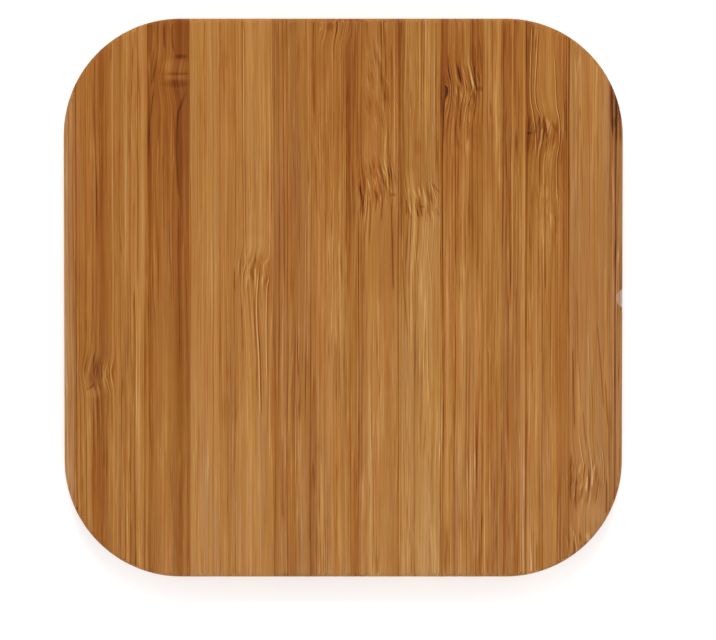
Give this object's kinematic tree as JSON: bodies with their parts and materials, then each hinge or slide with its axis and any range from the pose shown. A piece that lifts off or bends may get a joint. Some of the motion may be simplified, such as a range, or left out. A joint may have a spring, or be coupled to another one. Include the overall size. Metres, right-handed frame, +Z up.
{
  "type": "wireless charging pad",
  "caption": "Rounded-square wireless charging pad with a glued-strip bamboo body, a flush base plate on rubber feet, a USB-C inlet and a light pipe in its edge.",
  "frame": {"origin": "on the surface that the feet stand on, under the middle of the pad", "axes": "+Z up out of the charging face, +Y along the bamboo strips, +X towards the light pipe; the USB-C inlet faces -X"},
  "size_m": [0.09, 0.09, 0.0084],
  "materials": {
    "bamboo_light": "sanded and oiled, satin",
    "bamboo_mid": "sanded and oiled, satin",
    "bamboo_dark": "sanded and oiled, satin",
    "clear_acrylic": "frosted",
    "plate_plastic": "fine spark texture",
    "tape": "matt",
    "foot_rubber": "matt",
    "screw_steel": "zinc plated",
    "board_laminate": "green solder mask",
    "port_steel": "nickel plated",
    "port_plastic": "moulded",
    "contact_gold": "gold plated",
    "chip_plastic": "moulded",
    "can_metal": "satin",
    "ferrite": "sintered, matt",
    "capacitor_ceramic": "fired, matt",
    "tin": "tinned",
    "lamp_resin": "milky",
    "thermal_silicone": "soft, matt",
    "coil_copper": "enamelled copper strands",
    "thermistor_epoxy": "dipped"
  },
  "bodies": {
    "root": {"bamboo_strip_01": "bamboo_light", "bamboo_strip_02": "bamboo_dark", "bamboo_strip_03": "bamboo_mid", "bamboo_strip_04": "bamboo_dark", "bamboo_strip_05": "bamboo_light", "bamboo_strip_06": "bamboo_light", "bamboo_strip_07": "bamboo_mid", "bamboo_strip_08": "bamboo_mid", "bamboo_strip_09": "bamboo_light", "bamboo_strip_10": "bamboo_light", "bamboo_strip_11": "bamboo_mid", "bamboo_strip_12": "bamboo_dark", "bamboo_strip_13": "bamboo_mid", "bamboo_strip_14": "bamboo_mid", "bamboo_strip_15": "bamboo_light", "light_pipe": "clear_acrylic", "base_plate": "plate_plastic", "base_seal_tape": "tape", "foot_front_left": "foot_rubber", "foot_front_right": "foot_rubber", "foot_rear_left": "foot_rubber", "foot_rear_right": "foot_rubber", "foot_adhesive_discs": "tape", "cover_screws": "screw_steel", "circuit_board": "board_laminate", "usb_shell": "port_steel", "usb_insulator": "port_plastic", "usb_contacts": "contact_gold", "controller_ic": "chip_plastic", "power_bridge_ics": "chip_plastic", "timing_crystal": "can_metal", "input_inductor": "ferrite", "resonant_capacitors": "capacitor_ceramic", "bulk_capacitors": "capacitor_ceramic", "chip_capacitors": "capacitor_ceramic", "chip_resistors": "chip_plastic", "chip_end_caps": "tin", "status_led": "lamp_resin", "thermal_pad": "thermal_silicone", "ferrite_tape": "tape", "ferrite_plate": "ferrite", "coil_tape": "tape", "coil_winding": "coil_copper", "coil_top_tape": "tape", "coil_lead_inner": "coil_copper", "coil_lead_outer": "coil_copper", "coil_thermistor": "thermistor_epoxy", "solder_joints": "tin"}
  },
  "joints": []
}
